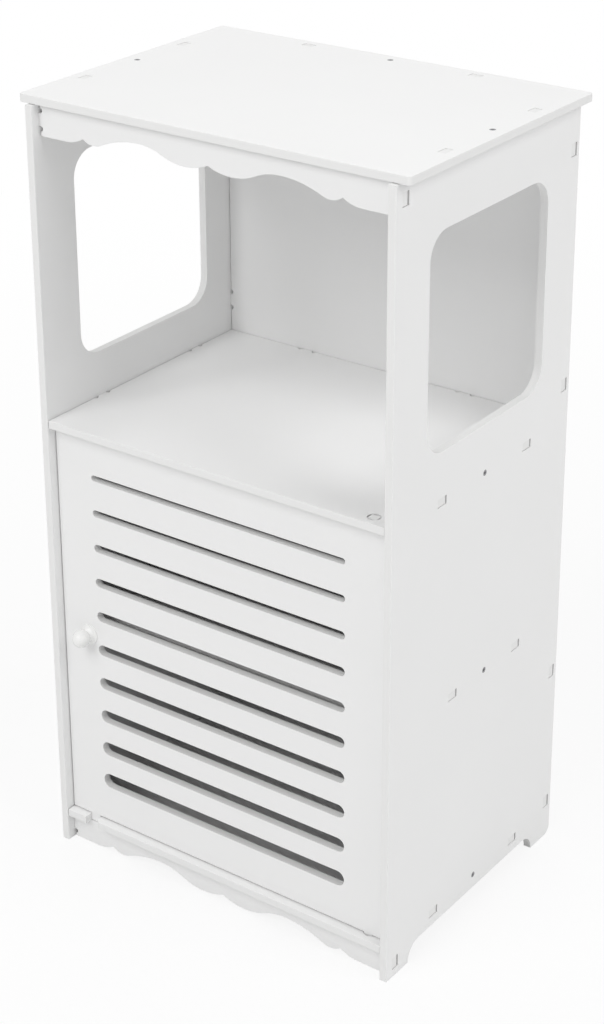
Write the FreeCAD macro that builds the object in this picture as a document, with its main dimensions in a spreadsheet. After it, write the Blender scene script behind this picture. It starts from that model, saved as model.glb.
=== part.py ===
"""Bathroom cabinet of slotted white boards with an open shelf over a louvred door.

The frame's origin lies on the floor, midway between the two side panels and
midway along their depth. X runs to the right, Y to the back and Z up, and
lengths are in millimetres.
"""
import FreeCAD, Part
import math
import os

import Sketcher
from FreeCAD import Placement, Rotation, Vector

# Driving dimensions, in millimetres.
SIZES = {
    # Carcass
    "overall_height": 800.0,
    "inner_width": 390.0,
    "panel_depth": 304.0,
    "board_thickness": 8.0,
    "edge_round": 0.7,
    # Top board
    "top_side_overhang": 11.0,
    "top_front_inset": 4.0,
    "top_rear_overhang": 3.0,
    "top_corner_radius": 4.0,
    # Heights of the three shelves' upper faces
    "middle_shelf_height": 478.0,
    "inner_shelf_height": 266.0,
    "bottom_shelf_height": 37.0,
    # Depths behind the side panels' front edges
    "shelf_front_inset": 1.0,
    "front_setback": 10.0,
    "inner_shelf_setback": 35.0,
    # Back panel
    "back_inset": 6.0,
    "back_floor_gap": 19.0,
    # Tabs, the slots that take them and the round reliefs at their roots
    "tab_width": 12.5,
    "tab_play": 0.3,
    "tab_slack": 0.2,
    "tab_shy": 0.5,
    "slot_front_play": 0.2,
    "slot_rear_play": 1.8,
    "slot_lower_play": 0.6,
    "tab_relief_radius": 2.4,
    "joint_gap": 0.6,
    "apron_end_gap": 1.6,
    # Places of the tabs
    "side_tab_spread": 147.0,
    "side_tab_shift": 1.5,
    "inner_tab_spread": 114.0,
    "rear_tab_spread": 192.0,
    # Back panel's tabs: under the top board, over the middle shelf, under the inner one, over the bottom one
    "back_tab_drop": 45.0,
    "back_tab_over_middle": 34.0,
    "back_tab_under_inner": 69.0,
    "back_tab_over_bottom": 5.0,
    # Window in each side panel: its clearances from the panel's edges and the middle shelf
    "window_side_margin": 53.5,
    "window_head_gap": 59.0,
    "window_sill_gap": 46.0,
    "window_corner_radius": 26.0,
    # Feet of the side panels
    "foot_width": 37.0,
    "arch_height": 18.5,
    "arch_corner_radius": 18.0,
    "heel_radius": 9.0,
    # Aprons and the rises of their scalloped edge
    "top_apron_height": 31.0,
    "apron_floor_gap": 0.6,
    "scallop_dip_rise": 1.5,
    "scallop_arch_rise": 13.0,
    "scallop_cusp_rise": 6.0,
    "scallop_centre_rise": 7.2,
    # Door
    "door_latch_gap": 0.8,
    "door_hinge_gap": 4.5,
    "door_shelf_gap": 1.2,
    "hinge_inset": 20.0,
    "hinge_hole_radius": 6.5,
    "hinge_tab_width": 9.4,
    "stop_tab_inset": 29.7,
    "stop_tab_width": 12.0,
    "stop_notch_radius": 7.0,
    # Slots of the door, from the top one to the bottom one
    "slot_end_margin": 43.4,
    "slot_drop": 42.3,
    "slot_lift": 48.1,
    "first_slot_height": 6.2,
    "last_slot_height": 16.2,
    # Knob
    "knob_inset": 31.7,
    "knob_drop": 2.5,
    "knob_base_radius": 10.6,
    "knob_base_height": 1.2,
    "knob_neck_radius": 6.0,
    "knob_flare_radius": 5.5,
    "knob_ball_radius": 9.0,
    "knob_reach": 21.2,
    # Knob screw
    "knob_screw_radius": 2.0,
    "knob_screw_length": 18.0,
    "knob_screw_head_radius": 3.8,
    "knob_screw_head_height": 2.2,
    # Countersunk screws
    "screw_length": 25.0,
    "screw_head_radius": 3.0,
    "screw_shank_radius": 1.5,
    "screw_tip_length": 2.0,
    "screw_hole_play": 0.2,
    "screw_pilot_play": 0.05,
    "screw_sink_play": 0.25,
    "screw_head_shy": 0.2,
    "cross_length": 3.4,
    "cross_width": 0.9,
    "cross_depth": 1.1,
    # Magnetic catch under the middle shelf
    "catch_inset": 45.0,
    "catch_width": 40.0,
    "catch_depth": 12.0,
    "catch_height": 14.0,
    "catch_face_gap": 0.3,
    "catch_screw_spread": 28.0,
    "catch_screw_length": 18.0,
    "magnet_width": 14.0,
    "magnet_depth": 5.0,
    "magnet_height": 8.0,
    "magnet_play": 0.1,
    # Strike plate on the back of the door
    "strike_width": 22.0,
    "strike_height": 10.0,
    "strike_thickness": 2.0,
    "strike_screw_length": 7.0,
    # Overrun of every cut past the face that it leaves
    "cut_overrun": 1.0,
}

# Places along half the inner width, measured from the centre of an apron.
SHARES = {
    "inner_dip_share": 0.133,
    "arch_top_share": 0.400,
    "outer_dip_share": 0.669,
    "outer_cusp_share": 0.733,
    "end_lobe_share": 0.836,
}

SLOT_COUNT = 10

SHEET = "Sizes"


class Bound:
    """A value together with the spreadsheet expression that it comes from."""

    def __init__(self, text, value):
        self.text = text
        self.value = value

    @staticmethod
    def of(other):
        """Wraps a plain number, and leaves a bound value as it is."""
        if isinstance(other, Bound):
            return other
        return Bound(repr(float(other)), float(other))

    def __add__(self, other):
        other = Bound.of(other)
        return Bound(f"({self.text} + {other.text})", self.value + other.value)

    def __sub__(self, other):
        other = Bound.of(other)
        return Bound(f"({self.text} - {other.text})", self.value - other.value)

    def __mul__(self, other):
        other = Bound.of(other)
        return Bound(f"({self.text} * {other.text})", self.value * other.value)

    def __truediv__(self, other):
        other = Bound.of(other)
        return Bound(f"({self.text} / {other.text})", self.value / other.value)

    def __neg__(self):
        return Bound(f"(0 - {self.text})", -self.value)


def square(length):
    """Gives a bound value times itself."""
    return length * length


def size(name):
    """Gives the bound value of a named size or share."""
    table = SIZES if name in SIZES else SHARES
    return Bound(f"{SHEET}.{name}", table[name])


ZERO = Bound.of(0)

doc = FreeCAD.newDocument("BathroomCabinet")


def make_sheet():
    """Writes every named value into the spreadsheet and gives it its alias."""
    sheet = doc.addObject("Spreadsheet::Sheet", SHEET)
    for row, (name, number) in enumerate({**SIZES, **SHARES}.items(), start=1):
        sheet.set(f"A{row}", name.replace("_", " "))
        sheet.set(f"B{row}", str(number))
        sheet.setAlias(f"B{row}", name)
    doc.recompute()


make_sheet()

# Values that several boards share.
thickness = size("board_thickness")
half_width = size("inner_width") / 2
panel_front = -size("panel_depth") / 2
panel_back = size("panel_depth") / 2
panel_top = size("overall_height") - thickness
gap = size("joint_gap")
tab_width = size("tab_width")
tab_reach = thickness - size("tab_shy")
shelf_front = panel_front + size("shelf_front_inset")
facing_front = panel_front + size("front_setback")
facing_back = facing_front + thickness
facing_middle = facing_front + thickness / 2
inner_shelf_front = panel_front + size("inner_shelf_setback")
back_face = panel_back - size("back_inset") - thickness
back_rear = panel_back - size("back_inset")
back_middle = back_face + thickness / 2
shelf_rear = back_face - gap
middle_underside = size("middle_shelf_height") - thickness
inner_underside = size("inner_shelf_height") - thickness
bottom_underside = size("bottom_shelf_height") - thickness
top_front = panel_front + size("top_front_inset")
top_rear = panel_back + size("top_rear_overhang")
top_middle = (top_front + top_rear) / 2
inner_shelf_middle = (inner_shelf_front + back_face) / 2
hinge_x = half_width - size("hinge_inset")
door_left = -half_width + size("door_latch_gap")
door_right = half_width - size("door_hinge_gap")
door_bottom = size("bottom_shelf_height") + size("door_shelf_gap")
door_top = middle_underside - size("door_shelf_gap")
knob_x = door_left + size("knob_inset")
knob_z = (door_bottom + door_top) / 2 - size("knob_drop")
stop_x = door_left + size("stop_tab_inset")
side_middle = size("side_tab_shift")
side_tabs = [side_middle - size("side_tab_spread") / 2, side_middle + size("side_tab_spread") / 2]
rear_tabs = [-size("rear_tab_spread") / 2, size("rear_tab_spread") / 2]
inner_tabs = [
    inner_shelf_middle - size("inner_tab_spread") / 2,
    inner_shelf_middle + size("inner_tab_spread") / 2,
]
back_tabs = [
    size("bottom_shelf_height") + size("back_tab_over_bottom"),
    size("inner_shelf_height") - size("back_tab_under_inner"),
    size("middle_shelf_height") + size("back_tab_over_middle"),
    panel_top - size("back_tab_drop"),
]
window_sill = size("middle_shelf_height") + size("window_sill_gap")
window_head = panel_top - size("window_head_gap")
slot_length = door_right - door_left - size("slot_end_margin") * 2
slot_pitch = (door_top - door_bottom - size("slot_drop") - size("slot_lift")) / (SLOT_COUNT - 1)
overrun = size("cut_overrun")
screw_hole_radius = size("screw_shank_radius") + size("screw_hole_play")
pilot_radius = size("screw_shank_radius") + size("screw_pilot_play")
sink_radius = size("screw_head_radius") + size("screw_sink_play")
catch_x = -half_width + size("catch_inset")
catch_front = facing_back + size("strike_thickness") + size("catch_face_gap")
catch_middle = catch_front + size("catch_depth") / 2
catch_bottom = middle_underside - size("catch_height")
catch_screws = [catch_x - size("catch_screw_spread") / 2, catch_x + size("catch_screw_spread") / 2]
strike_z = catch_bottom + size("catch_height") / 2


class Outline:
    """A closed outline, drawn anticlockwise, of straight runs and arcs."""

    def __init__(self):
        self.points = []
        self.reliefs = []

    def to(self, x, y, radius=None, turn=0):
        """Adds a point, and the arc or line that leaves it: turn is 1 to the left, -1 to the right."""
        self.points.append((Bound.of(x), Bound.of(y), radius, turn))
        return self

    def tabs(self, along, line, outward, centres, travel, stand_off=gap):
        """Adds tabs that stand out of a straight edge, with a relief at each side of a root."""
        reach = tab_reach + stand_off
        relief = size("tab_relief_radius")
        for centre in centres[::travel]:
            near = centre - tab_width / 2 * travel
            far = centre + tab_width / 2 * travel
            for place, level in ((near, line), (near, line + reach * outward), (far, line + reach * outward), (far, line)):
                self.to(*((place, level) if along == "x" else (level, place)))
            for place in (near - relief * travel, far + relief * travel):
                self.reliefs.append((place, line) if along == "x" else (line, place))
        return self


def box_outline(x0, y0, x1, y1):
    """Draws a plain rectangle."""
    return Outline().to(x0, y0).to(x1, y0).to(x1, y1).to(x0, y1)


def rounded_outline(x0, y0, x1, y1, radius):
    """Draws a rectangle with four rounded corners."""
    shape = Outline()
    shape.to(x0 + radius, y0).to(x1 - radius, y0, radius, 1)
    shape.to(x1, y0 + radius).to(x1, y1 - radius, radius, 1)
    shape.to(x1 - radius, y1).to(x0 + radius, y1, radius, 1)
    shape.to(x0, y1 - radius).to(x0, y0 + radius, radius, 1)
    return shape


def stadium_outline(x0, x1, y, radius):
    """Draws a long slot with round ends."""
    shape = Outline()
    shape.to(x0 + radius, y - radius).to(x1 - radius, y - radius, radius, 1)
    shape.to(x1, y, radius, 1).to(x1 - radius, y + radius)
    shape.to(x0 + radius, y + radius, radius, 1).to(x0, y, radius, 1)
    return shape


def arc_between(start, end, radius, turn):
    """Makes the short arc from one point to another, turning left or right."""
    chord = end - start
    middle = (start + end) / 2
    rise = math.sqrt(max(radius * radius - chord.Length * chord.Length / 4, 0))
    left = Vector(-chord.y, chord.x, 0).normalize()
    centre = middle + left * rise * turn
    first, last = (start, end) if turn > 0 else (end, start)
    angles = [math.atan2(point.y - centre.y, point.x - centre.x) for point in (first, last)]
    return Part.ArcOfCircle(Part.Circle(centre, Vector(0, 0, 1), radius), *angles)


def bind(sketch, kind, references, length):
    """Adds a dimension to a sketch and ties it to its expression."""
    index = sketch.addConstraint(Sketcher.Constraint(kind, *references, length.value))
    sketch.setExpression(f"Constraints[{index}]", length.text)


def draw_outline(sketch, outline):
    """Draws one closed outline in a sketch, fully constrained."""
    points = outline.points
    count = len(points)
    places = [Vector(x.value, y.value, 0) for x, y, radius, turn in points]
    first = sketch.GeometryCount
    ends = []
    for index, (x, y, radius, turn) in enumerate(points):
        start, end = places[index], places[(index + 1) % count]
        if radius is None:
            sketch.addGeometry(Part.LineSegment(start, end), False)
        else:
            sketch.addGeometry(arc_between(start, end, radius.value, turn), False)
            bind(sketch, "Radius", (first + index,), radius)
        ends.append((1, 2) if turn >= 0 else (2, 1))
    for index in range(count):
        following = (index + 1) % count
        joint = (first + index, ends[index][1], first + following, ends[following][0])
        sketch.addConstraint(Sketcher.Constraint("Coincident", *joint))
    for index, (x, y, radius, turn) in enumerate(points):
        before = points[index - 1]
        straight = before[2] is None
        reference = (-1, 1, first + index, ends[index][0])
        if straight and before[0].text == x.text:
            sketch.addConstraint(Sketcher.Constraint("Vertical", first + (index - 1) % count))
        else:
            bind(sketch, "DistanceX", reference, x)
        if straight and before[1].text == y.text:
            sketch.addConstraint(Sketcher.Constraint("Horizontal", first + (index - 1) % count))
        else:
            bind(sketch, "DistanceY", reference, y)


def draw_circle(sketch, x, y, radius):
    """Draws one constrained circle in a sketch."""
    circle = Part.Circle(Vector(x.value, y.value, 0), Vector(0, 0, 1), radius.value)
    index = sketch.addGeometry(circle, False)
    bind(sketch, "Radius", (index,), radius)
    bind(sketch, "DistanceX", (-1, 1, index, 3), x)
    bind(sketch, "DistanceY", (-1, 1, index, 3), y)


def place(thing, x, y, z, facing=Vector(0, 0, 1)):
    """Sets a piece down at bound coordinates, with its own Z turned to face a direction."""
    thing.Placement = Placement(Vector(x.value, y.value, z.value), Rotation(Vector(0, 0, 1), facing))
    for axis, length in zip("xyz", (x, y, z)):
        thing.setExpression(f"Placement.Base.{axis}", length.text)


def new_body(label, x=ZERO, y=ZERO, z=ZERO, facing=Vector(0, 0, 1)):
    """Starts a sub-part as a body at its own place."""
    body = doc.addObject("PartDesign::Body", label)
    body.Label = label
    place(body, x, y, z, facing)
    return body


def new_sketch(body, name, plane):
    """Starts a sketch on one of the body's own origin planes."""
    sketch = body.newObject("Sketcher::SketchObject", name)
    flat = next(item for item in body.Origin.OriginFeatures if item.Role == plane)
    sketch.AttachmentSupport = [(flat, "")]
    sketch.MapMode = "FlatFace"
    return sketch


def check_cut(body, before, name):
    """Stops the build where a cut has removed nothing."""
    doc.recompute()
    if not body.Shape.Volume < before:
        raise RuntimeError(f"{body.Label}: {name} cut nothing")


def pad(body, name, plane, outlines, depth, backwards=False):
    """Pads outlines into a board."""
    sketch = new_sketch(body, f"{name}Sketch", plane)
    for outline in outlines:
        draw_outline(sketch, outline)
    feature = body.newObject("PartDesign::Pad", name)
    feature.Profile = (sketch, [""])
    feature.Reversed = backwards
    feature.setExpression("Length", depth.text)
    doc.recompute()
    return feature


def pocket(body, name, plane, outlines, circles, depth, backwards=False):
    """Cuts outlines and circles into a board."""
    before = body.Shape.Volume
    sketch = new_sketch(body, f"{name}Sketch", plane)
    for outline in outlines:
        draw_outline(sketch, outline)
    for x, y, radius in circles:
        draw_circle(sketch, x, y, radius)
    feature = body.newObject("PartDesign::Pocket", name)
    feature.Profile = (sketch, [""])
    feature.Reversed = backwards
    feature.setExpression("Length", depth.text)
    check_cut(body, before, name)
    return feature


def revolve(body, name, outline):
    """Turns an outline in the XZ plane about the body's own Z axis."""
    sketch = new_sketch(body, f"{name}Sketch", "XZ_Plane")
    draw_outline(sketch, outline)
    feature = body.newObject("PartDesign::Revolution", name)
    feature.Profile = (sketch, [""])
    feature.ReferenceAxis = (sketch, ["V_Axis"])
    doc.recompute()
    return feature


def bore(body, name, spot, towards, radius, depth):
    """Bores a round hole from a spot on a face, into the board."""
    before = body.Shape.Volume
    feature = body.newObject("PartDesign::SubtractiveCylinder", name)
    feature.setExpression("Radius", radius.text)
    feature.setExpression("Height", (depth + overrun).text)
    start = [length - overrun * step for length, step in zip(spot, towards)]
    place(feature, *start, Vector(*towards))
    check_cut(body, before, name)


def countersink(body, name, spot, towards):
    """Sinks the mouth of a screw hole for a conical head."""
    before = body.Shape.Volume
    feature = body.newObject("PartDesign::SubtractiveCone", name)
    feature.setExpression("Radius1", sink_radius.text)
    feature.setExpression("Radius2", screw_hole_radius.text)
    feature.setExpression("Height", (sink_radius - screw_hole_radius).text)
    place(feature, *spot, Vector(*towards))
    check_cut(body, before, name)


def grip(length, through):
    """Gives the depth of a blind hole for a screw that first passes through another piece."""
    return length - through + overrun


def screw_hole(body, name, spot, towards, depth):
    """Makes a through hole with a countersink for one screw."""
    bore(body, f"{name}Hole", spot, towards, screw_hole_radius, depth + overrun)
    countersink(body, f"{name}Sink", spot, towards)


def round_edges(body, name, chosen, radius=size("edge_round")):
    """Rounds the edges of a body that a test picks out."""
    doc.recompute()
    base = body.Tip
    names = [f"Edge{index}" for index, edge in enumerate(base.Shape.Edges, start=1) if chosen(edge)]
    feature = body.newObject("PartDesign::Fillet", name)
    feature.Base = (base, names)
    feature.setExpression("Radius", radius.text)
    doc.recompute()


def lies_at(edge, axis, length):
    """Tells whether a whole edge lies at one value of an axis."""
    bounds = edge.BoundBox
    low, high = getattr(bounds, f"{axis}Min"), getattr(bounds, f"{axis}Max")
    return math.isclose(low, length.value, abs_tol=1e-6) and math.isclose(high, length.value, abs_tol=1e-6)


def on_front(edge, axis, front, shortest):
    """Tells whether an edge is a long straight one on a board's front face."""
    return lies_at(edge, axis, front) and edge.Length > shortest.value


def tab_slot(along, centre, low, high):
    """Draws the slot that takes one tab, with its play and slack."""
    half = tab_width / 2 + size("tab_play")
    slack = size("tab_slack")
    if along == "x":
        return box_outline(centre - half, low - slack, centre + half, high + slack)
    return box_outline(low - slack, centre - half, high + slack, centre + half)


def side_slot(front, rear, low, high):
    """Draws a side panel's slot, which leaves its play behind the tab and under it."""
    return box_outline(
        front - size("slot_front_play"), low - size("slot_lower_play"),
        rear + size("slot_rear_play"), high + size("tab_slack"),
    )


def shelf_slots(places, upper):
    """Draws the slots of a side panel for one shelf's tabs."""
    half = tab_width / 2
    return [side_slot(y - half, y + half, upper - thickness, upper) for y in places]


def upright_slots(levels, front, rear):
    """Draws the slots of a side panel for the tabs of a board that stands upright."""
    half = tab_width / 2
    return [side_slot(front, rear, z - half, z + half) for z in levels]


def relief_circles(outline):
    """Lists the round reliefs beside the tabs of an outline."""
    return [(x, y, size("tab_relief_radius")) for x, y in outline.reliefs]


def make_side_panel(label, side):
    """Builds one side panel: side is -1 for the left one and 1 for the right one."""
    inner_face = half_width * side
    origin_x = inner_face if side > 0 else inner_face - thickness
    body = new_body(label, x=origin_x)
    radius = size("arch_corner_radius")
    arch = size("arch_height")
    foot = size("foot_width")
    heel = size("heel_radius")
    outline = Outline()
    outline.to(panel_front, ZERO).to(panel_front + foot, ZERO)
    outline.to(panel_front + foot, arch - radius, radius, -1)
    outline.to(panel_front + foot + radius, arch)
    outline.to(panel_back - foot - radius, arch, radius, -1)
    outline.to(panel_back - foot, arch - radius).to(panel_back - foot, ZERO)
    outline.to(panel_back - heel, ZERO, heel, 1).to(panel_back, heel)
    outline.to(panel_back, panel_top - gap)
    outline.tabs("x", panel_top - gap, 1, side_tabs, -1)
    outline.to(panel_front, panel_top - gap)
    pad(body, "Board", "YZ_Plane", [outline], thickness)
    window_front = panel_front + size("window_side_margin")
    window_rear = panel_back - size("window_side_margin")
    window = rounded_outline(
        window_front, window_sill, window_rear, window_head, size("window_corner_radius")
    )
    pocket(body, "Window", "YZ_Plane", [window], relief_circles(outline), thickness, backwards=True)
    slots = shelf_slots(side_tabs, size("middle_shelf_height"))
    slots += shelf_slots(side_tabs, size("bottom_shelf_height"))
    slots += shelf_slots(inner_tabs, size("inner_shelf_height"))
    slots += upright_slots(back_tabs, back_face, back_rear)
    slots += upright_slots([top_apron_middle, bottom_apron_middle], facing_front, facing_back)
    pocket(body, "Slots", "YZ_Plane", slots, [], thickness, backwards=True)
    outer = thickness if side > 0 else ZERO
    for name, y, z in side_screw_places():
        screw_hole(body, f"{name}Screw", (outer, y, z), (-side, 0, 0), thickness)
    mouth = (thickness / 2, top_middle, panel_top - gap)
    bore(body, "TopPilot", mouth, (0, 0, -1), pilot_radius, grip(size("screw_length"), thickness))
    round_edges(body, "FrontEdges", lambda edge: on_front(edge, "Y", panel_front, thickness))
    return body


def side_screw_places():
    """Lists the screws that pass through each side panel into the shelves."""
    return [
        ("Middle", side_middle, middle_underside + thickness / 2),
        ("Inner", inner_shelf_middle, inner_underside + thickness / 2),
        ("Bottom", side_middle, bottom_underside + thickness / 2),
    ]


def make_top_board():
    """Builds the top board, which the side and back panels' tabs pass up through."""
    body = new_body("top_board", z=panel_top)
    half_top = half_width + thickness + size("top_side_overhang")
    outline = rounded_outline(-half_top, top_front, half_top, top_rear, size("top_corner_radius"))
    pad(body, "Board", "XY_Plane", [outline], thickness)
    slots = [tab_slot("x", x, back_face, back_rear) for x in rear_tabs]
    for low, high in ((-half_width - thickness, -half_width), (half_width, half_width + thickness)):
        slots += [tab_slot("y", y, low, high) for y in side_tabs]
    pocket(body, "Slots", "XY_Plane", slots, [], thickness, backwards=True)
    panel_middle = half_width + thickness / 2
    screw_hole(body, "LeftScrew", (-panel_middle, top_middle, thickness), (0, 0, -1), thickness)
    screw_hole(body, "RightScrew", (panel_middle, top_middle, thickness), (0, 0, -1), thickness)
    screw_hole(body, "RearScrew", (ZERO, back_middle, thickness), (0, 0, -1), thickness)

    def outer_edge(edge):
        """Picks the edges of the board's rim, above and below."""
        bounds = edge.BoundBox
        flat = lies_at(edge, "Z", ZERO) or lies_at(edge, "Z", thickness)
        sides = (bounds.XMin, -bounds.XMax, bounds.YMin, -bounds.YMax)
        limits = (-half_top.value, -half_top.value, top_front.value, -top_rear.value)
        return flat and any(math.isclose(a, b, abs_tol=1e-6) for a, b in zip(sides, limits))

    round_edges(body, "RimEdges", outer_edge)
    return body


def make_shelf(label, upper, front, side_places, side_screw_y, hinge=False, notch=False):
    """Builds one shelf with its tabs, and the door's hinge hole and stop notch where it has them."""
    body = new_body(label, z=upper - thickness)
    side = half_width - gap
    outline = Outline()
    outline.to(-side, front)
    if notch:
        half_notch = size("stop_tab_width") / 2 + size("tab_play")
        notch_back = facing_back + size("tab_slack")
        easing = size("stop_notch_radius")
        outline.to(stop_x - half_notch, front).to(stop_x - half_notch, notch_back)
        outline.to(stop_x + half_notch, notch_back)
        outline.to(stop_x + half_notch, front + easing, easing, 1).to(stop_x + half_notch + easing, front)
    outline.to(side, front)
    outline.tabs("y", side, 1, side_places, 1)
    outline.to(side, shelf_rear)
    outline.tabs("x", shelf_rear, 1, rear_tabs, -1)
    outline.to(-side, shelf_rear)
    outline.tabs("y", -side, -1, side_places, -1)
    pad(body, "Board", "XY_Plane", [outline], thickness)
    holes = relief_circles(outline)
    if hinge:
        holes.append((hinge_x, facing_middle, size("hinge_hole_radius")))
    pocket(body, "Reliefs", "XY_Plane", [], holes, thickness, backwards=True)
    depth = grip(size("screw_length"), thickness)
    middle = thickness / 2
    bore(body, "LeftPilot", (-side, side_screw_y, middle), (1, 0, 0), pilot_radius, depth)
    bore(body, "RightPilot", (side, side_screw_y, middle), (-1, 0, 0), pilot_radius, depth)
    bore(body, "RearPilot", (ZERO, shelf_rear, middle), (0, -1, 0), pilot_radius, depth)
    return body


def round_shelf_front(body, front):
    """Rounds a shelf's front edge, above and below."""
    round_edges(body, "FrontEdges", lambda edge: on_front(edge, "Y", front, size("hinge_inset")))


def make_back_panel():
    """Builds the back panel, which closes both compartments."""
    body = new_body("back_panel", y=back_face)
    side = half_width - gap
    top = panel_top - gap
    outline = Outline()
    outline.to(-side, size("back_floor_gap")).to(side, size("back_floor_gap"))
    outline.tabs("y", side, 1, back_tabs, 1)
    outline.to(side, top)
    outline.tabs("x", top, 1, rear_tabs, -1)
    outline.to(-side, top)
    outline.tabs("y", -side, -1, back_tabs, -1)
    pad(body, "Board", "XZ_Plane", [outline], thickness, backwards=True)
    slots = []
    for upper in ("middle_shelf_height", "inner_shelf_height", "bottom_shelf_height"):
        slots += [tab_slot("x", x, size(upper) - thickness, size(upper)) for x in rear_tabs]
    pocket(body, "Slots", "XZ_Plane", slots, relief_circles(outline), thickness)
    for name, y, z in side_screw_places():
        screw_hole(body, f"{name}Screw", (ZERO, thickness, z), (0, -1, 0), thickness)
    mouth = (ZERO, thickness / 2, top)
    bore(body, "TopPilot", mouth, (0, 0, -1), pilot_radius, grip(size("screw_length"), thickness))
    return body


def scallop_points(outline, level, mirrored):
    """Adds one half of an apron's scalloped edge, from its end to its centre or back."""
    inner_dip = half_width * size("inner_dip_share")
    arch_top = half_width * size("arch_top_share")
    outer_dip = half_width * size("outer_dip_share")
    outer_cusp = half_width * size("outer_cusp_share")
    end_lobe = half_width * size("end_lobe_share")
    dip = size("scallop_dip_rise")
    arch = size("scallop_arch_rise")
    cusp = size("scallop_cusp_rise")
    centre = size("scallop_centre_rise")

    def lobe_radius(run, rise):
        """Gives the radius of a lobe that climbs a rise over a run from its lowest point."""
        return (square(run) + square(rise)) / (rise * 2)

    def arch_radius(run, lobe):
        """Gives the radius of an arch that meets a lobe without a corner."""
        drop = dip + lobe - arch
        return (square(run) + square(drop) - square(lobe)) / ((arch - dip) * 2)

    def meeting(dip_place, lobe, radius):
        """Gives the point where a lobe runs into the arch."""
        share = lobe / (lobe + radius)
        x = dip_place + (arch_top - dip_place) * share
        z = dip + lobe + (arch - radius - dip - lobe) * share
        return x, z

    end_radius = lobe_radius(end_lobe - outer_cusp, cusp)
    outer_lobe = lobe_radius(outer_cusp - outer_dip, cusp - dip)
    inner_lobe = lobe_radius(inner_dip, centre - dip)
    outer_arch = arch_radius(outer_dip - arch_top, outer_lobe)
    inner_arch = arch_radius(arch_top - inner_dip, inner_lobe)
    outer_x, outer_z = meeting(outer_dip, outer_lobe, outer_arch)
    inner_x, inner_z = meeting(inner_dip, inner_lobe, inner_arch)
    run = [
        (end_lobe, ZERO, end_radius, 1),
        (outer_cusp, cusp, outer_lobe, 1),
        (outer_x, outer_z, outer_arch, -1),
        (arch_top, arch, inner_arch, -1),
        (inner_x, inner_z, inner_lobe, 1),
    ]
    if not mirrored:
        for x, z, radius, turn in run:
            outline.to(-x, level + z, radius, turn)
        return
    radii = [(radius, turn) for x, z, radius, turn in run]
    places = [(ZERO, centre)] + [(x, z) for x, z, radius, turn in run[:0:-1]]
    for (x, z), (radius, turn) in zip(places, radii[::-1]):
        outline.to(x, level + z, radius, turn)
    outline.to(end_lobe, level)


def make_apron(label, upper, height):
    """Builds one apron, which hangs from the underside of the board above it."""
    body = new_body(label, y=facing_front, z=upper)
    end_gap = size("apron_end_gap")
    side = half_width - end_gap
    outline = Outline()
    outline.to(-side, -height)
    scallop_points(outline, -height, mirrored=False)
    scallop_points(outline, -height, mirrored=True)
    outline.to(side, -height)
    outline.tabs("y", side, 1, [-height / 2], 1, end_gap)
    outline.to(side, -gap).to(-side, -gap)
    outline.tabs("y", -side, -1, [-height / 2], -1, end_gap)
    pad(body, "Board", "XZ_Plane", [outline], thickness, backwards=True)
    pocket(body, "Reliefs", "XZ_Plane", [], relief_circles(outline), thickness)
    return body


def make_door():
    """Builds the door panel with its slots, its two hinge tabs and its stop tab."""
    body = new_body("door_panel", y=facing_front)
    half_hinge = size("hinge_tab_width") / 2
    half_stop = size("stop_tab_width") / 2
    reach = size("door_shelf_gap") + tab_reach
    low, high = door_bottom - reach, door_top + reach
    outline = Outline()
    outline.to(door_left, door_bottom)
    for centre, half in ((stop_x, half_stop), (hinge_x, half_hinge)):
        outline.to(centre - half, door_bottom).to(centre - half, low)
        outline.to(centre + half, low).to(centre + half, door_bottom)
    outline.to(door_right, door_bottom).to(door_right, door_top)
    outline.to(hinge_x + half_hinge, door_top).to(hinge_x + half_hinge, high)
    outline.to(hinge_x - half_hinge, high).to(hinge_x - half_hinge, door_top)
    outline.to(door_left, door_top)
    pad(body, "Board", "XZ_Plane", [outline], thickness, backwards=True)
    middle_x = (door_left + door_right) / 2
    growth = (size("last_slot_height") - size("first_slot_height")) / (SLOT_COUNT - 1)
    slots = []
    for number in range(SLOT_COUNT):
        level = door_top - size("slot_drop") - slot_pitch * number
        radius = (size("first_slot_height") + growth * number) / 2
        slots.append(stadium_outline(middle_x - slot_length / 2, middle_x + slot_length / 2, level, radius))
    pocket(body, "Slots", "XZ_Plane", slots, [], thickness)
    hole_radius = size("knob_screw_radius") + size("screw_hole_play")
    bore(body, "KnobHole", (knob_x, thickness, knob_z), (0, -1, 0), hole_radius, thickness + overrun)
    pilot_depth = grip(size("strike_screw_length"), size("strike_thickness"))
    bore(body, "StrikePilot", (catch_x, thickness, strike_z), (0, -1, 0), pilot_radius, pilot_depth)
    round_edges(body, "FrontEdges", lambda edge: on_front(edge, "Y", ZERO, slot_length))
    return body


def make_knob():
    """Builds the turned knob, with a blind bore for its screw."""
    body = new_body("door_knob", knob_x, facing_front, knob_z, Vector(0, -1, 0))
    neck = size("knob_neck_radius")
    ball = size("knob_ball_radius")
    reach = size("knob_reach")
    half_chord = square(ball) - square(neck)
    neck_drop = Bound(f"sqrt({half_chord.text})", math.sqrt(half_chord.value))
    outline = Outline()
    outline.to(ZERO, ZERO).to(size("knob_base_radius"), ZERO)
    outline.to(size("knob_base_radius"), size("knob_base_height"), size("knob_flare_radius"), -1)
    outline.to(neck, reach - ball - neck_drop, ball, 1)
    outline.to(ZERO, reach)
    revolve(body, "Turning", outline)
    hole_radius = size("knob_screw_radius") + size("screw_pilot_play")
    depth = grip(size("knob_screw_length"), thickness)
    bore(body, "ScrewBore", (ZERO, ZERO, ZERO), (0, 0, 1), hole_radius, depth)
    return body


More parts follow.
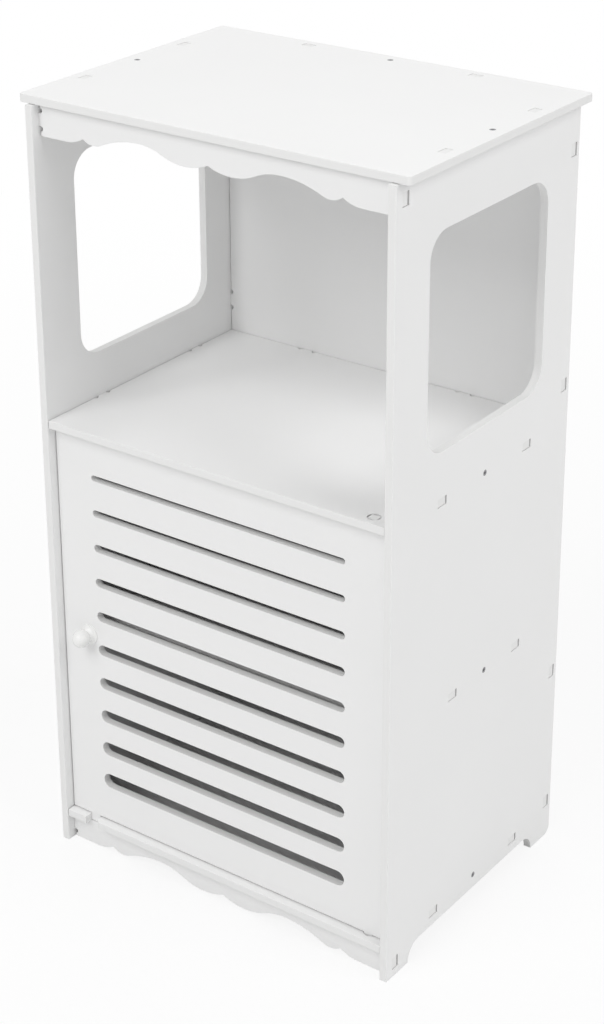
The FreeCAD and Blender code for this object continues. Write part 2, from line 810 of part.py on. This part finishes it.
def cross_outline():
    """Draws the cross of a screw's recess."""
    arm = size("cross_length") / 2
    half = size("cross_width") / 2
    shape = Outline()
    shape.to(arm, -half).to(arm, half).to(half, half).to(half, arm).to(-half, arm).to(-half, half)
    shape.to(-arm, half).to(-arm, -half).to(-half, -half).to(-half, -arm).to(half, -arm).to(half, -half)
    return shape


def make_screw(label, x, y, z, facing, length=size("screw_length")):
    """Builds one countersunk screw: its head faces a direction and its tip points the other way."""
    body = new_body(label, x, y, z, facing)
    head = size("screw_head_radius")
    shank = size("screw_shank_radius")
    outline = Outline()
    outline.to(ZERO, -length).to(shank, size("screw_tip_length") - length)
    outline.to(shank, shank - head).to(head, ZERO).to(ZERO, ZERO)
    revolve(body, "Turning", outline)
    pocket(body, "Cross", "XY_Plane", [cross_outline()], [], size("cross_depth"))
    return body


def make_knob_screw():
    """Builds the pan-headed screw that holds the knob from inside the door."""
    head_top = facing_back + size("knob_screw_head_height")
    body = new_body("knob_screw", knob_x, head_top, knob_z, Vector(0, 1, 0))
    head = size("knob_screw_head_radius")
    shank = size("knob_screw_radius")
    drop = size("knob_screw_head_height")
    outline = Outline()
    outline.to(ZERO, -drop - size("knob_screw_length")).to(shank, -drop - size("knob_screw_length"))
    outline.to(shank, -drop).to(head, -drop).to(head, ZERO).to(ZERO, ZERO)
    revolve(body, "Turning", outline)
    pocket(body, "Cross", "XY_Plane", [cross_outline()], [], size("cross_depth"))
    return body


def make_screws():
    """Builds the screws that hold the boards together, each one a sub-part of its own."""
    shy = size("screw_head_shy")
    up, back = Vector(0, 0, 1), Vector(0, 1, 0)
    screws = []
    panel_middle = half_width + thickness / 2
    top = size("overall_height") - shy
    screws.append(make_screw("top_screw_left", -panel_middle, top_middle, top, up))
    screws.append(make_screw("top_screw_right", panel_middle, top_middle, top, up))
    screws.append(make_screw("top_screw_rear", ZERO, back_middle, top, up))
    outer = half_width + thickness - shy
    for name, y, z in side_screw_places():
        part = name.lower()
        screws.append(make_screw(f"{part}_shelf_screw_left", -outer, y, z, Vector(-1, 0, 0)))
        screws.append(make_screw(f"{part}_shelf_screw_right", outer, y, z, Vector(1, 0, 0)))
        screws.append(make_screw(f"{part}_shelf_screw_rear", ZERO, back_rear - shy, z, back))
    return screws


def make_catch():
    """Builds the magnetic catch under the middle shelf and the strike plate on the door."""
    pieces = []
    housing = new_body("catch_housing", catch_x, catch_front, catch_bottom)
    half = size("catch_width") / 2
    base = box_outline(-half, ZERO, half, size("catch_depth"))
    pad(housing, "Block", "XY_Plane", [base], size("catch_height") - gap)
    play = size("magnet_play")
    half_magnet = size("magnet_width") / 2
    magnet_z = size("catch_height") / 2
    half_tall = size("magnet_height") / 2
    seat = box_outline(
        -half_magnet - play, magnet_z - half_tall - play, half_magnet + play, magnet_z + half_tall + play
    )
    pocket(housing, "MagnetSeat", "XZ_Plane", [seat], [], size("magnet_depth") + play)
    for number, x in enumerate(catch_screws, start=1):
        spot = (x - catch_x, size("catch_depth") / 2, ZERO)
        screw_hole(housing, f"Screw{number}", spot, (0, 0, 1), size("catch_height"))
    round_edges(housing, "BlockEdges", lambda edge: lies_at(edge, "Y", size("catch_depth")))
    pieces.append(housing)
    magnet = new_body("catch_magnet", catch_x, catch_front, catch_bottom + magnet_z)
    block = box_outline(-half_magnet, -half_tall, half_magnet, half_tall)
    pad(magnet, "Block", "XZ_Plane", [block], size("magnet_depth"), backwards=True)
    pieces.append(magnet)
    down = Vector(0, 0, -1)
    for number, x in enumerate(catch_screws, start=1):
        level = catch_bottom + size("screw_head_shy")
        length = size("catch_screw_length")
        pieces.append(make_screw(f"catch_screw_{number}", x, catch_middle, level, down, length))
    strike = new_body("strike_plate", catch_x, facing_back, strike_z)
    half_plate = size("strike_width") / 2
    half_high = size("strike_height") / 2
    plate = rounded_outline(-half_plate, -half_high, half_plate, half_high, size("strike_thickness"))
    pad(strike, "Plate", "XZ_Plane", [plate], size("strike_thickness"), backwards=True)
    screw_hole(strike, "Screw", (ZERO, size("strike_thickness"), ZERO), (0, -1, 0), size("strike_thickness"))
    pieces.append(strike)
    face = facing_back + size("strike_thickness") - size("screw_head_shy")
    length = size("strike_screw_length")
    pieces.append(make_screw("strike_screw", catch_x, face, strike_z, Vector(0, 1, 0), length))
    return pieces


def export(bodies):
    """Checks every object and every sub-part, then writes one file for each sub-part."""
    doc.recompute()
    for item in doc.Objects:
        if "Invalid" in item.State or "Error" in item.State:
            raise RuntimeError(f"{item.Label} failed: {item.State}")
    for body in bodies:
        if body.Shape.isNull() or not body.Shape.isValid() or len(body.Shape.Solids) != 1:
            raise RuntimeError(f"{body.Label} has no single valid solid")
    os.makedirs("parts", exist_ok=True)
    for body in bodies:
        body.Shape.exportStep(os.path.join("parts", f"{body.Label}.step"))
        print(f"{body.Label}: {body.Shape.Volume / 1000:.2f} cm3")


top_apron_middle = panel_top - size("top_apron_height") / 2
bottom_apron_height = bottom_underside - size("apron_floor_gap")
bottom_apron_middle = bottom_underside - bottom_apron_height / 2

parts = [make_side_panel("left_side_panel", -1), make_side_panel("right_side_panel", 1)]
parts.append(make_top_board())
middle_shelf = make_shelf(
    "middle_shelf", size("middle_shelf_height"), shelf_front, side_tabs, side_middle, hinge=True
)
catch_depth = grip(size("catch_screw_length"), size("catch_height"))
for order, screw_x in enumerate(catch_screws, start=1):
    mouth = (screw_x, catch_middle, ZERO)
    bore(middle_shelf, f"CatchPilot{order}", mouth, (0, 0, 1), pilot_radius, catch_depth)
inner_shelf = make_shelf(
    "inner_shelf", size("inner_shelf_height"), inner_shelf_front, inner_tabs, inner_shelf_middle
)
bottom_shelf = make_shelf(
    "bottom_shelf", size("bottom_shelf_height"), shelf_front, side_tabs, side_middle, hinge=True, notch=True
)
round_shelf_front(middle_shelf, shelf_front)
round_shelf_front(inner_shelf, inner_shelf_front)
round_shelf_front(bottom_shelf, shelf_front)
parts += [middle_shelf, inner_shelf, bottom_shelf, make_back_panel()]
parts.append(make_apron("top_apron", panel_top, size("top_apron_height")))
parts.append(make_apron("bottom_apron", bottom_underside, bottom_apron_height))
parts += [make_door(), make_knob(), make_knob_screw()]
parts += make_screws()
parts += make_catch()
export(parts)
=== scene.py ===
"""Dresses the white bathroom cabinet and sets it in a plain bright studio.

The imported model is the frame: every board, screw and fitting stays where it lies. Here each of
them gets its finish, and modifiers ease its sharp edges. Lengths are in metres.
"""
from __future__ import annotations

import logging
import math
from dataclasses import dataclass
from enum import Enum
from typing import Iterable

import bpy
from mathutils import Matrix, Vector


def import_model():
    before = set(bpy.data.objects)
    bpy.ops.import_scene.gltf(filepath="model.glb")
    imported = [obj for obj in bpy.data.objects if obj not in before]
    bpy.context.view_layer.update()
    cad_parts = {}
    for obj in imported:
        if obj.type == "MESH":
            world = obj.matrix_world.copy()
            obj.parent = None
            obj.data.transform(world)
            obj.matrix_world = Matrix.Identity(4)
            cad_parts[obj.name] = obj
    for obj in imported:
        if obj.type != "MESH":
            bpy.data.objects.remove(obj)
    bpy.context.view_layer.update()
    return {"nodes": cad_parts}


LOG = logging.getLogger("cabinet")

MM = 0.001

Colour = tuple[float, float, float]
Output = tuple[bpy.types.Node, str | int]
Input = tuple[bpy.types.Node, str | int]
Value = float | Colour | Output

WHITE: Colour = (1.0, 1.0, 1.0)

# Corners closer than the reach become one corner, faces within the flat angle become one face,
# and edges past the sharp angle are eased.
WELD_REACH = 0.000001
FLAT_ANGLE = math.radians(1)
SHARP_ANGLE = math.radians(35)
FACE_WEIGHT = 100


class ThinAxis(Enum):
    """The direction in which a board is thin, as an index into X, Y and Z."""

    ACROSS = 0
    DEEP = 1
    UPRIGHT = 2


class Mixed(Enum):
    """What a Mix node mixes: its data type and the places of its first, second and result."""

    VALUES = ("FLOAT", 2, 3, 0)
    COLOURS = ("RGBA", 6, 7, 2)


class NodeGraph:
    """A short way to write a node tree."""

    def __init__(self, tree: bpy.types.NodeTree) -> None:
        """Empties a node tree, to be written anew.

        Args:
            tree: The tree of a material or a world.
        """
        self.tree = tree
        self.tree.nodes.clear()

    def node(self, kind: str, **values: object) -> bpy.types.Node:
        """Adds a node and sets its inputs or its own settings.

        Args:
            kind: The node's type name.
            **values: Input names with underscores for spaces, or settings of the node.

        Returns:
            The new node.
        """
        made = self.tree.nodes.new(kind)
        for key, value in values.items():
            label = key.replace("_", " ")
            if label in made.inputs:
                self.feed((made, label), value)
            else:
                setattr(made, key, value)
        return made

    def link(self, source: Output, target: Input) -> None:
        """Joins an output of one node to an input of another.

        Args:
            source: The node that gives the value, and its output.
            target: The node that takes it, and its input.
        """
        giver, out = source
        taker, into = target
        self.tree.links.new(giver.outputs[out], taker.inputs[into])

    def feed(self, target: Input, value: Value) -> None:
        """Sets an input to a number or a colour, or joins it to an output.

        Args:
            target: The node and its input.
            value: A number, a colour, or a node and its output.
        """
        taker, into = target
        if not isinstance(value, tuple):
            taker.inputs[into].default_value = value
        elif isinstance(value[0], bpy.types.Node):
            self.link(value, target)
        else:
            taker.inputs[into].default_value = (*value, 1.0)

    def seen_by(self, *rays: str) -> Output:
        """Gives 1 for the named kinds of ray and 0 for all others.

        Args:
            *rays: Outputs of the Light Path node.

        Returns:
            The output that gives the value.
        """
        path = self.node("ShaderNodeLightPath")
        seen: Output = (path, rays[0])
        for ray in rays[1:]:
            larger = self.node("ShaderNodeMath", operation="MAXIMUM")
            self.link(seen, (larger, 0))
            self.link((path, ray), (larger, 1))
            seen = (larger, 0)
        return seen

    def mix_shaders(self, amount: Output, first: bpy.types.Node, second: bpy.types.Node) -> Output:
        """Mixes two shaders.

        Args:
            amount: The output that gives the amount.
            first: The shader that shows at 0.
            second: The shader that shows at 1.

        Returns:
            The output that gives the mixture.
        """
        made = self.node("ShaderNodeMixShader")
        self.link(amount, (made, 0))
        self.link((first, 0), (made, 1))
        self.link((second, 0), (made, 2))
        return made, 0


class SurfaceGraph(NodeGraph):
    """The node tree of one material, with a Principled shader."""

    def __init__(self, name: str) -> None:
        """Starts a material with a Principled shader and an output.

        Args:
            name: The material's name.
        """
        self.material = bpy.data.materials.new(name)
        self.material.use_nodes = True
        super().__init__(self.material.node_tree)
        self.output = self.node("ShaderNodeOutputMaterial")
        self.shader = self.node("ShaderNodeBsdfPrincipled")
        self.link((self.shader, "BSDF"), (self.output, "Surface"))

    def paint(self, **values: Value) -> None:
        """Sets or joins inputs of the Principled shader.

        Args:
            **values: Input names with underscores for spaces, and what each gets.
        """
        for key, value in values.items():
            self.feed((self.shader, key.replace("_", " ")), value)

    def coordinates(self, kind: str = "Object") -> Output:
        """Gives the place on the piece, or the texture coordinates of another kind."""
        return self.node("ShaderNodeTexCoord"), kind

    def noise(
        self, scale: float, detail: float = 2.0, roughness: float = 0.5, place: Output | None = None
    ) -> Output:
        """Adds a noise that follows the piece.

        Args:
            scale: Waves for each metre.
            detail: Octaves of the noise.
            roughness: Weight of the finer octaves.
            place: The coordinates to use instead of the place on the piece.

        Returns:
            The output that gives the noise, from 0 to 1.
        """
        made = self.node("ShaderNodeTexNoise", Scale=scale, Detail=detail, Roughness=roughness)
        self.link(place or self.coordinates(), (made, "Vector"))
        return made, 0

    def spread(self, source: Output, low: float, high: float, **settings: object) -> Output:
        """Maps a value onto another range.

        Args:
            source: The output that gives the value.
            low: What 0, or From_Min, becomes.
            high: What 1, or From_Max, becomes.
            **settings: From_Min and From_Max, if they aren't 0 and 1, or the node's settings.

        Returns:
            The output that gives the mapped value.
        """
        made = self.node("ShaderNodeMapRange", To_Min=low, To_Max=high, **settings)
        self.link(source, (made, "Value"))
        return made, "Result"

    def mix(self, kind: Mixed, amount: Output, first: Value, second: Value) -> Output:
        """Mixes two values or two colours.

        Args:
            kind: Whether values or colours are mixed.
            amount: The output that gives the amount.
            first: What shows at 0.
            second: What shows at 1.

        Returns:
            The output that gives the mixture.
        """
        data_type, first_place, second_place, result = kind.value
        made = self.node("ShaderNodeMix", data_type=data_type)
        self.link(amount, (made, 0))
        self.feed((made, first_place), first)
        self.feed((made, second_place), second)
        return made, result

    def bump(
        self, height: Output, strength: float | Output, distance: float, under: Output | None = None
    ) -> Output:
        """Adds a bump from a height.

        Args:
            height: The output that gives the height.
            strength: How much of the bump shows.
            distance: Its depth in metres.
            under: The bump that it lies on, if any.

        Returns:
            The output that gives the bumped normal.
        """
        made = self.node("ShaderNodeBump", Strength=strength, Distance=distance)
        self.link(height, (made, "Height"))
        if under:
            self.link(under, (made, "Normal"))
        return made, 0


@dataclass(frozen=True)
class BoardFinish:
    """White wood-plastic board, coloured right through, with satin faces and milled edges."""

    face: Colour = (0.862, 0.862, 0.86)
    face_cloud: Colour = (0.84, 0.84, 0.837)
    cloud_scale: float = 9.0
    cloud_detail: float = 4.0
    cut: Colour = (0.83, 0.83, 0.825)
    cut_streak: Colour = (0.79, 0.79, 0.784)
    cut_roughness: float = 0.66
    face_facing: float = 0.95
    cut_facing: float = 0.6
    roughness_low: float = 0.48
    roughness_high: float = 0.58
    specular: float = 0.4
    ior: float = 1.46
    grain_scale: float = 1900.0
    grain_roughness: float = 0.6
    grain_strength: float = 0.35
    grain_depth: float = 0.00004
    mill_scale: float = 900.0
    mill_length_scale: float = 40.0
    mill_detail: float = 3.0
    mill_depth: float = 0.00003

    def cut_share(self, graph: SurfaceGraph, thin: ThinAxis) -> Output:
        """Tells the cut edges from the faces by the way the surface looks.

        Args:
            graph: The material's node tree.
            thin: The direction in which the board is thin.

        Returns:
            The output that gives 1 on a cut edge and 0 on a face.
        """
        parts = graph.node("ShaderNodeSeparateXYZ")
        graph.link(graph.coordinates("Normal"), (parts, "Vector"))
        facing = graph.node("ShaderNodeMath", operation="ABSOLUTE")
        graph.link((parts, thin.value), (facing, 0))
        return graph.spread(
            (facing, "Value"), 0.0, 1.0, From_Min=self.face_facing, From_Max=self.cut_facing
        )

    def mill_marks(self, graph: SurfaceGraph, thin: ThinAxis) -> Output:
        """Adds the cutter's marks, which are fine in the direction in which the board is thin.

        Args:
            graph: The material's node tree.
            thin: The direction in which the board is thin.

        Returns:
            The output that gives the marks, from 0 to 1.
        """
        scales = [self.mill_length_scale] * len(ThinAxis)
        scales[thin.value] = self.mill_scale
        stretch = graph.node("ShaderNodeMapping")
        stretch.inputs["Scale"].default_value = scales
        graph.link(graph.coordinates(), (stretch, "Vector"))
        return graph.noise(1.0, self.mill_detail, place=(stretch, 0))

    def material(self, name: str, thin: ThinAxis) -> bpy.types.Material:
        """Makes the finish of the boards that are thin in one direction.

        Args:
            name: The material's name.
            thin: The direction in which the board is thin.

        Returns:
            The material.
        """
        graph = SurfaceGraph(name)
        on_cut = self.cut_share(graph, thin)
        marks = self.mill_marks(graph, thin)
        cloud = graph.noise(self.cloud_scale, self.cloud_detail)
        grain = graph.noise(self.grain_scale, roughness=self.grain_roughness)
        face = graph.mix(Mixed.COLOURS, cloud, self.face, self.face_cloud)
        cut = graph.mix(Mixed.COLOURS, marks, self.cut, self.cut_streak)
        sheen = graph.spread(grain, self.roughness_low, self.roughness_high)
        fine = graph.bump(grain, self.grain_strength, self.grain_depth)
        graph.paint(
            Base_Color=graph.mix(Mixed.COLOURS, on_cut, face, cut),
            Roughness=graph.mix(Mixed.VALUES, on_cut, sheen, self.cut_roughness),
            Normal=graph.bump(marks, on_cut, self.mill_depth, under=fine),
            IOR=self.ior,
            Specular_IOR_Level=self.specular,
        )
        return graph.material


@dataclass(frozen=True)
class PlasticFinish:
    """Moulded or turned white plastic with a faint orange peel."""

    colour: Colour
    shade: Colour
    roughness_low: float
    roughness_high: float
    peel_scale: float
    peel_depth: float
    peel_strength: float = 0.3
    cloud_scale: float = 60.0
    cloud_detail: float = 3.0

    def material(self, name: str) -> bpy.types.Material:
        """Makes the plastic's material.

        Args:
            name: The material's name.

        Returns:
            The material.
        """
        graph = SurfaceGraph(name)
        cloud = graph.noise(self.cloud_scale, self.cloud_detail)
        peel = graph.noise(self.peel_scale)
        graph.paint(
            Base_Color=graph.mix(Mixed.COLOURS, cloud, self.colour, self.shade),
            Roughness=graph.spread(peel, self.roughness_low, self.roughness_high),
            Normal=graph.bump(peel, self.peel_strength, self.peel_depth),
        )
        return graph.material


@dataclass(frozen=True)
class MetalFinish:
    """Plated steel or a magnet's dark ceramic, with fine marks."""

    colour: Colour
    shade: Colour
    metallic: float
    roughness_low: float
    roughness_high: float
    mark_scale: float
    mark_detail: float = 3.0
    mark_strength: float = 0.25
    mark_depth: float = 0.00002
    patch_scale: float = 400.0
    patch_detail: float = 4.0

    def material(self, name: str) -> bpy.types.Material:
        """Makes the metal's material.

        Args:
            name: The material's name.

        Returns:
            The material.
        """
        graph = SurfaceGraph(name)
        patch = graph.noise(self.patch_scale, self.patch_detail)
        marks = graph.noise(self.mark_scale, self.mark_detail)
        graph.paint(
            Base_Color=graph.mix(Mixed.COLOURS, patch, self.colour, self.shade),
            Metallic=self.metallic,
            Roughness=graph.spread(marks, self.roughness_low, self.roughness_high),
            Normal=graph.bump(marks, self.mark_strength, self.mark_depth),
        )
        return graph.material


def soften(piece: bpy.types.Object, width: float, segments: int = 2) -> None:
    """Rounds the sharp edges of a piece a little and evens its shading.

    Args:
        piece: The piece.
        width: The rounding's width in metres.
        segments: Faces across the rounding.
    """
    joined = piece.modifiers.new("JoinedFaces", "WELD")
    joined.merge_threshold = WELD_REACH
    flat = piece.modifiers.new("WholeFaces", "DECIMATE")
    flat.decimate_type = "DISSOLVE"
    flat.angle_limit = FLAT_ANGLE
    edge = piece.modifiers.new("EasedEdges", "BEVEL")
    edge.width = width
    edge.segments = segments
    edge.limit_method = "ANGLE"
    edge.angle_limit = SHARP_ANGLE
    evened = piece.modifiers.new("EvenShading", "WEIGHTED_NORMAL")
    evened.mode = "FACE_AREA"
    evened.weight = FACE_WEIGHT


def dress_piece(piece: bpy.types.Object, material: bpy.types.Material, width: float) -> None:
    """Gives a piece one material in place of its own, eases its edges and reports it.

    Args:
        piece: The piece.
        material: Its finish.
        width: The width of the eased edges in metres.
    """
    piece.data.materials.clear()
    piece.data.materials.append(material)
    soften(piece, width)
    LOG.info("dressed %s", piece.name)


@dataclass
class Carcass:
    """The fixed boards of the cabinet."""

    nodes: dict[str, bpy.types.Object]
    finish: BoardFinish
    edge_width: float = 0.35 * MM

    def boards(self) -> dict[str, ThinAxis]:
        """Lists the boards.

        Returns:
            The direction in which each board is thin, by the board's name.
        """
        return {
            "left_side_panel": ThinAxis.ACROSS,
            "right_side_panel": ThinAxis.ACROSS,
            "top_board": ThinAxis.UPRIGHT,
            "middle_shelf": ThinAxis.UPRIGHT,
            "inner_shelf": ThinAxis.UPRIGHT,
            "bottom_shelf": ThinAxis.UPRIGHT,
            "back_panel": ThinAxis.DEEP,
            "top_apron": ThinAxis.DEEP,
            "bottom_apron": ThinAxis.DEEP,
        }

    def dress(self) -> None:
        """Gives every board its finish and eases its edges."""
        looks = {
            thin: self.finish.material(f"board_{thin.name.lower()}", thin) for thin in ThinAxis
        }
        for name, thin in self.boards().items():
            dress_piece(self.nodes[name], looks[thin], self.edge_width)


@dataclass
class Door:
    """The slotted door with its knob."""

    nodes: dict[str, bpy.types.Object]
    finish: BoardFinish
    knob_finish: PlasticFinish
    edge_width: float = 0.35 * MM
    knob_edge_width: float = 0.15 * MM

    def dress(self) -> None:
        """Gives the door and its knob their finish and eases their edges."""
        board = self.finish.material("door_board", ThinAxis.DEEP)
        dress_piece(self.nodes["door_panel"], board, self.edge_width)
        plastic = self.knob_finish.material("knob_plastic")
        dress_piece(self.nodes["door_knob"], plastic, self.knob_edge_width)


@dataclass
class Fittings:
    """The screws, the magnetic catch and its strike plate."""

    nodes: dict[str, bpy.types.Object]
    steel: MetalFinish
    magnet: MetalFinish
    housing: PlasticFinish
    edge_width: float = 0.1 * MM

    def materials(self) -> dict[str, bpy.types.Material]:
        """Makes the fittings' materials.

        Returns:
            The material of each fitting, by the fitting's name.
        """
        steel = self.steel.material("plated_steel")
        worn = {name: steel for name in self.nodes if "screw" in name or name == "strike_plate"}
        worn["catch_magnet"] = self.magnet.material("magnet_ferrite")
        worn["catch_housing"] = self.housing.material("catch_plastic")
        return worn

    def dress(self) -> None:
        """Gives every small fitting its finish and eases its edges."""
        for name, material in self.materials().items():
            dress_piece(self.nodes[name], material, self.edge_width)


@dataclass(frozen=True)
class Lamp:
    """One square soft lamp, hung round the middle of the cabinet and facing it.

    Azimuth 0 is in front of the cabinet and 90 to its right. A lamp that isn't mirrored lights
    the object and leaves no highlight on it.
    """

    name: str
    azimuth: float
    elevation: float
    power: float
    mirrored: bool = True
    distance: float = 5.0
    size: float = 2.9
    aim: tuple[float, float, float] = (0.0, 0.0, 0.45)

    def direction(self) -> Vector:
        """Finds the way from the cabinet to the lamp.

        Returns:
            The direction, with length 1.
        """
        turn, climb = math.radians(self.azimuth), math.radians(self.elevation)
        level = math.cos(climb)
        return Vector((math.sin(turn) * level, -math.cos(turn) * level, math.sin(climb)))

    def build(self) -> None:
        """Hangs the lamp."""
        data = bpy.data.lights.new(self.name, "AREA")
        data.shape = "SQUARE"
        data.size = self.size
        data.energy = self.power
        out = self.direction()
        lamp = bpy.data.objects.new(self.name, data)
        lamp.location = Vector(self.aim) + out * self.distance
        lamp.rotation_euler = (-out).to_track_quat("-Z", "Y").to_euler()
        lamp.visible_glossy = self.mirrored
        bpy.context.scene.collection.objects.link(lamp)
        LOG.info("hung %s", self.name)


@dataclass
class Studio:
    """A pale floor, soft lamps, a bright backdrop and the camera."""

    lamps: Iterable[Lamp]
    world_level: float = 0.5
    white_level: float = 1.0
    floor_reach: float = 30.0
    floor_shade: float = 0.85
    floor_roughness: float = 0.9
    glow_near: float = 0.86
    glow_near_reach: float = 0.4
    glow_far_reach: float = 2.2
    camera_place: tuple[float, float, float] = (1.1574, -1.59519, 1.36369)
    camera_turn: tuple[float, float, float] = (1.178209, 0.003942, 0.627148)
    camera_lens: float = 78.766
    camera_sensor: float = 36.0
    camera_shift: float = -0.1582
    camera_near: float = 0.05
    camera_far: float = 100.0

    def floor_material(self) -> bpy.types.Material:
        """Makes a floor that keeps a soft shadow and turns white for the camera further out.

        Returns:
            The material.
        """
        graph = SurfaceGraph("studio_floor")
        graph.paint(Base_Color=(self.floor_shade,) * 3, Roughness=self.floor_roughness)
        glow = graph.node("ShaderNodeEmission", Color=WHITE, Strength=self.white_level)
        far = graph.node("ShaderNodeVectorMath", operation="LENGTH")
        graph.link(graph.coordinates(), (far, 0))
        fade = graph.spread(
            (far, "Value"),
            self.glow_near,
            1.0,
            From_Min=self.glow_near_reach,
            From_Max=self.glow_far_reach,
            interpolation_type="SMOOTHSTEP",
        )
        share = graph.node("ShaderNodeMath", operation="MULTIPLY")
        graph.link(graph.seen_by("Is Camera Ray", "Is Glossy Ray"), (share, 0))
        graph.link(fade, (share, 1))
        lit = graph.mix_shaders((share, 0), graph.shader, glow)
        graph.link(lit, (graph.output, "Surface"))
        return graph.material

    def lay_floor(self) -> None:
        """Lays the pale floor under the cabinet."""
        mesh = bpy.data.meshes.new("studio_floor")
        reach = self.floor_reach
        edge = [(-reach, -reach, 0), (reach, -reach, 0), (reach, reach, 0), (-reach, reach, 0)]
        mesh.from_pydata(edge, [], [(0, 1, 2, 3)])
        floor = bpy.data.objects.new("studio_floor", mesh)
        bpy.context.scene.collection.objects.link(floor)
        mesh.materials.append(self.floor_material())

    def set_world(self) -> None:
        """Sets a world that lights the object softly and is white where the camera sees it."""
        world = bpy.data.worlds.new("studio_world")
        bpy.context.scene.world = world
        world.use_nodes = True
        graph = NodeGraph(world.node_tree)
        soft = graph.node("ShaderNodeBackground", Color=WHITE, Strength=self.world_level)
        white = graph.node("ShaderNodeBackground", Color=WHITE, Strength=self.white_level)
        seen = graph.seen_by("Is Camera Ray", "Is Glossy Ray", "Is Transmission Ray")
        output = graph.node("ShaderNodeOutputWorld")
        graph.link(graph.mix_shaders(seen, soft, white), (output, "Surface"))

    def set_camera(self) -> None:
        """Sets the camera at the photograph's viewing angle, with the plain view transform."""
        data = bpy.data.cameras.new("photo_camera")
        data.lens = self.camera_lens
        data.sensor_width = self.camera_sensor
        data.shift_y = self.camera_shift
        data.clip_start = self.camera_near
        data.clip_end = self.camera_far
        camera = bpy.data.objects.new("photo_camera", data)
        camera.location = self.camera_place
        camera.rotation_euler = self.camera_turn
        bpy.context.scene.collection.objects.link(camera)
        bpy.context.scene.camera = camera
        bpy.context.scene.view_settings.view_transform = "Standard"

    def build(self) -> None:
        """Builds the floor, the lights and the camera."""
        self.lay_floor()
        for lamp in self.lamps:
            lamp.build()
        self.set_world()
        self.set_camera()
        LOG.info("set up the studio")


def main() -> None:
    """Loads the frame, dresses every piece and sets up the studio."""
    logging.basicConfig(level=logging.INFO, format="%(name)s: %(message)s")
    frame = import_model()
    nodes = frame["nodes"]
    board = BoardFinish()
    knob = PlasticFinish(
        colour=(0.86, 0.86, 0.85),
        shade=(0.84, 0.84, 0.83),
        roughness_low=0.24,
        roughness_high=0.3,
        peel_scale=1200.0,
        peel_depth=0.000002,
    )
    housing = PlasticFinish(
        colour=(0.8, 0.8, 0.79),
        shade=(0.77, 0.77, 0.76),
        roughness_low=0.4,
        roughness_high=0.55,
        peel_scale=1500.0,
        peel_depth=0.00001,
    )
    steel = MetalFinish(
        colour=(0.37, 0.37, 0.38),
        shade=(0.28, 0.28, 0.29),
        metallic=1.0,
        roughness_low=0.25,
        roughness_high=0.45,
        mark_scale=2500.0,
    )
    magnet = MetalFinish(
        colour=(0.1, 0.1, 0.11),
        shade=(0.07, 0.07, 0.08),
        metallic=0.6,
        roughness_low=0.45,
        roughness_high=0.65,
        mark_scale=1500.0,
    )
    Carcass(nodes, board).dress()
    Door(nodes, board, knob).dress()
    Fittings(nodes, steel, magnet, housing).dress()
    lamps = [
        Lamp("front_softbox", azimuth=-8.0, elevation=44.0, power=102.0),
        Lamp("right_softbox", azimuth=93.0, elevation=42.0, power=84.0),
        Lamp("rear_softbox", azimuth=222.0, elevation=14.0, power=60.0, mirrored=False),
    ]
    Studio(lamps).build()


if __name__ == "__main__":
    main()
